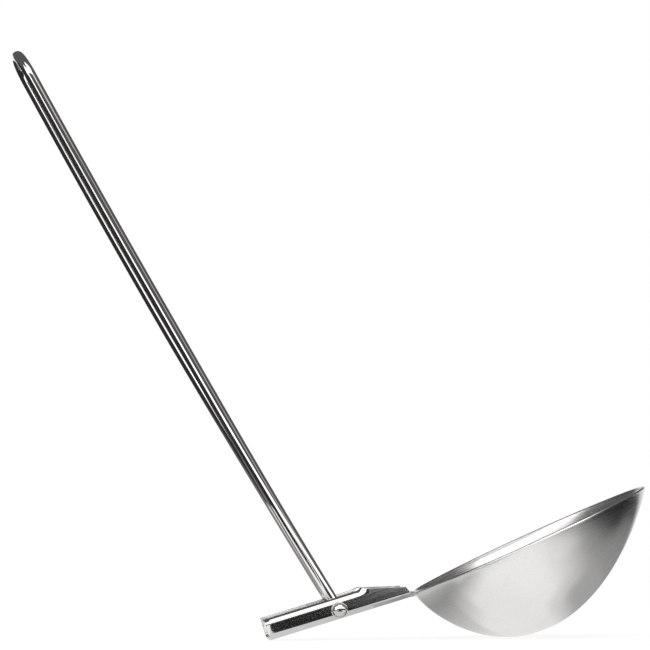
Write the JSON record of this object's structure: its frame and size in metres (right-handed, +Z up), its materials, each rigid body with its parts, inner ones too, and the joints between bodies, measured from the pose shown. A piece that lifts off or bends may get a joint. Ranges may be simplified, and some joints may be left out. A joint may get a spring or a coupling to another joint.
{
  "type": "folding serving spoon",
  "caption": "Folding serving spoon: an oval bowl welded to a bent sheet channel, with a long wire loop handle that pivots from straight out to folded over the bowl.",
  "frame": {"origin": "middle of the underside of the box round the spoon as it stands, on the table", "axes": "+X from the handle's loop towards the bowl, +Y along the pivot, +Z up from the table"},
  "size_m": [0.2236, 0.071, 0.2089],
  "materials": {
    "bowl_steel": "satin",
    "channel_steel": "polished",
    "weld_steel": "satin",
    "wire_steel": "polished",
    "washer_steel": "polished"
  },
  "bodies": {
    "head": {"bowl": "bowl_steel", "hinge_channel": "channel_steel", "bowl_weld": "weld_steel"},
    "handle": {"handle_loop": "wire_steel", "pivot_washer_near": "washer_steel", "pivot_washer_far": "washer_steel"}
  },
  "joints": [
    {"name": "handle_fold", "type": "hinge", "parent": "head", "child": "handle", "pos_m": [0.00179, 0, 0.01036], "axis": [0, 1, 0], "range_deg": [-75.5, 97.8]}
  ]
}
